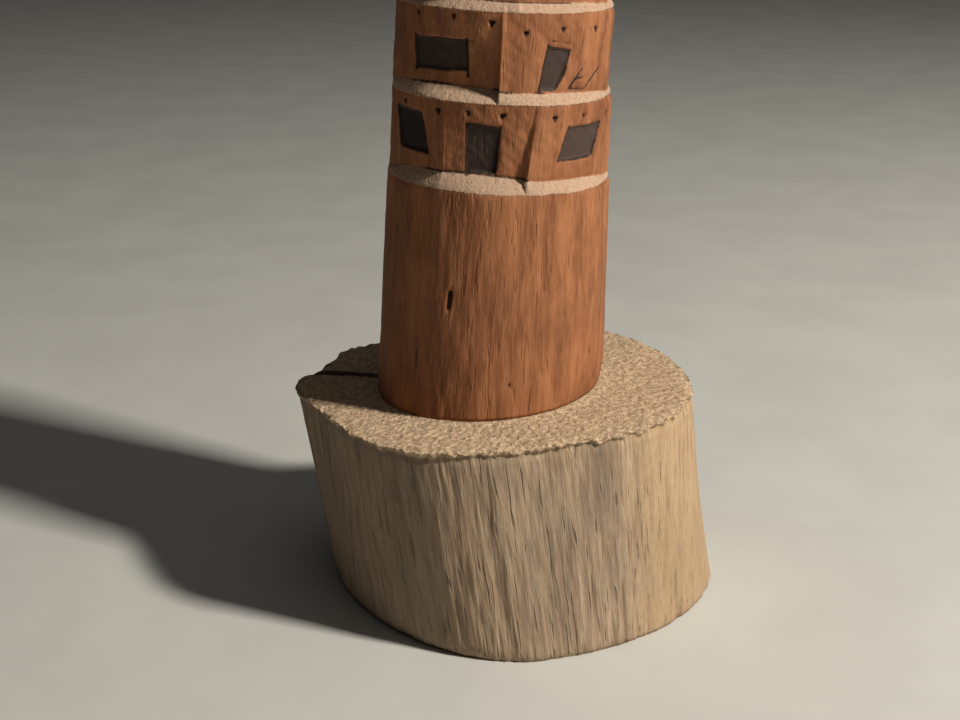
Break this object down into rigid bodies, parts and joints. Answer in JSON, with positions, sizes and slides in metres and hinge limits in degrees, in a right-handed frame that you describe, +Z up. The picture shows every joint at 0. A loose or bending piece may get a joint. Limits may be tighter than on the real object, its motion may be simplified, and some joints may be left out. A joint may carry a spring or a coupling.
{
  "type": "kachina doll",
  "caption": "Carved wooden kachina doll with pueblo storeys cut round its trunk, standing on a sawn log base.",
  "frame": {"origin": "on the supporting surface, under the middle of the whole work's bounding box", "axes": "+Z up, the doll's front looks along -Y, +X to the right seen from the front"},
  "size_m": [0.086, 0.0676, 0.2493],
  "materials": {
    "stained_wood": "satin",
    "weathered_wood": "matte"
  },
  "bodies": {
    "root": {"doll_figure": "stained_wood", "log_base": "weathered_wood"}
  },
  "joints": []
}
